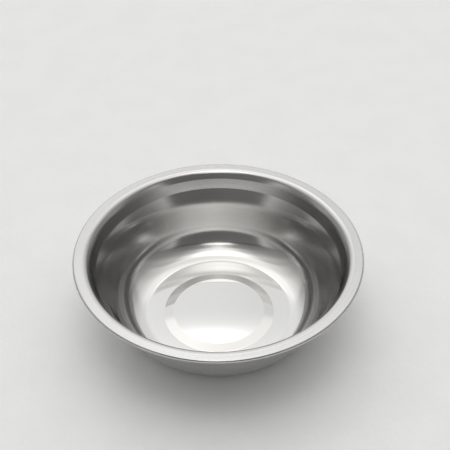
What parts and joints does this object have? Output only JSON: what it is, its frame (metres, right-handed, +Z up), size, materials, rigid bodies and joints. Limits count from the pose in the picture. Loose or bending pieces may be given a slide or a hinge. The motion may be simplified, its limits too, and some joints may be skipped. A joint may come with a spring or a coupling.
{
  "type": "shaving bowl",
  "caption": "Round open metal bowl with a flat rim, a crease and a sloping ledge below the neck, a rounded wall and a flat floor with a raised disc, for shaving lather.",
  "frame": {"origin": "on the bowl's axis, at the height of the surface that it stands on", "axes": "+Z up along the axis; the bowl is round, so X and Y are any two directions across it"},
  "size_m": [0.14, 0.14, 0.0403],
  "materials": {
    "stainless_steel": "polished inside, satin on the flat rim, duller spun finish outside"
  },
  "bodies": {
    "root": {"bowl_shell": "stainless_steel"}
  },
  "joints": []
}
